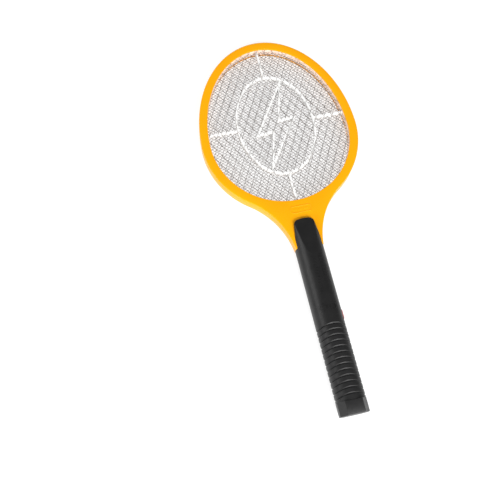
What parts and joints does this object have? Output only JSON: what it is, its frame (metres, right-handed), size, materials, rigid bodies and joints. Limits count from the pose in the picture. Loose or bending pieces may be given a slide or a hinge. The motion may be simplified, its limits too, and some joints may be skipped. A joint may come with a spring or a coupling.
{
  "type": "electric fly swatter",
  "caption": "Racket-shaped electric insect swatter with an oval layered wire grid, black ribbed handle, side push button and sliding battery door.",
  "frame": {"origin": "centre of the outline at the back of the handle, on the surface that the racket lies on", "axes": "+X to the side of the push button, +Y along the racket from handle to tip, +Z out of the front face"},
  "size_m": [0.1812, 0.4454, 0.029],
  "materials": {
    "frame_plastic": "smooth moulded ABS, warm yellow",
    "handle_plastic": "fine textured moulded ABS, black",
    "spacer_plastic": "smooth moulded polystyrene, white",
    "grid_metal": "bright drawn wire mesh",
    "button_plastic": "smooth moulded, dark red",
    "screw_steel": "zinc plated",
    "contact_steel": "nickel plated spring steel",
    "battery_case": "printed foil sleeve, plain",
    "board_laminate": "green solder mask",
    "ferrite": "sintered ferrite",
    "copper_winding": "enamelled copper wire",
    "dark_epoxy": "moulded epoxy",
    "film_capacitor": "dipped epoxy, dark red",
    "disc_capacitor": "dipped ceramic, blue",
    "resistor_body": "lacquered, tan",
    "switch_plastic": "moulded, dark grey",
    "terminal_brass": "stamped brass",
    "lead_red": "PVC insulation, red",
    "lead_white": "PVC insulation, white",
    "lead_black": "PVC insulation, black",
    "lead_yellow": "PVC insulation, yellow"
  },
  "bodies": {
    "racket": {"frame_front": "frame_plastic", "frame_back": "frame_plastic", "mesh_front": "grid_metal", "mesh_centre": "grid_metal", "mesh_back": "grid_metal", "spacer_front": "spacer_plastic", "spacer_back": "spacer_plastic", "handle_front": "handle_plastic", "handle_back": "handle_plastic", "switch_body": "switch_plastic", "switch_board": "board_laminate", "battery_upper": "battery_case", "battery_lower": "battery_case", "battery_spring": "contact_steel", "spring_plate": "contact_steel", "positive_contact": "contact_steel", "circuit_board": "board_laminate", "transformer_core": "ferrite", "transformer_winding": "copper_winding", "transistor": "dark_epoxy", "storage_capacitor": "film_capacitor", "doubler_capacitors": "disc_capacitor", "diodes": "dark_epoxy", "resistors": "resistor_body", "grid_terminals": "terminal_brass", "grid_lead_front": "lead_red", "grid_lead_centre": "lead_white", "grid_lead_back": "lead_red", "positive_lead": "lead_red", "negative_lead": "lead_black", "switch_leads": "lead_yellow", "throat_screws": "screw_steel", "handle_screws": "screw_steel"},
    "button": {"push_button": "button_plastic", "switch_plunger": "spacer_plastic"},
    "door": {"battery_door": "handle_plastic"}
  },
  "joints": [
    {"name": "button_press", "type": "slide", "parent": "racket", "child": "button", "axis": [-1, 0, 0], "range_m": [0, 0.001], "stiffness_N_per_m": 1000, "springref_m": -0.0005},
    {"name": "door_slide", "type": "slide", "parent": "racket", "child": "door", "axis": [0, -1, 0], "range_m": [0, 0.112]}
  ]
}
